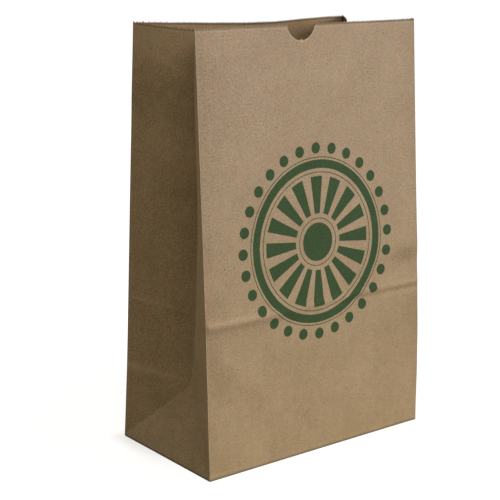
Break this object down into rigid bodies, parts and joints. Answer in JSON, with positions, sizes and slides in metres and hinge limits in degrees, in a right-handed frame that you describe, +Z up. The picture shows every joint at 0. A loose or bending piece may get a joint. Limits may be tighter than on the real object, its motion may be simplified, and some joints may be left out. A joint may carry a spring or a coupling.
{
  "type": "brown paper lunch bag",
  "caption": "Open, standing flat-bottomed kraft paper bag with pleated sides, a pinked mouth with a thumb notch, and a plain round ornament on the front.",
  "frame": {"origin": "the middle of the base, on the surface that the bag stands on", "axes": "+Z up the bag to its open mouth, -Y out of the printed front panel, +X to the right as the front is seen"},
  "size_m": [0.1806, 0.0994, 0.2792],
  "materials": {
    "kraft_paper": "uncoated matt brown kraft paper, with a field of flat green ink on the front"
  },
  "bodies": {
    "root": {"paper_bag": "kraft_paper"}
  },
  "joints": []
}
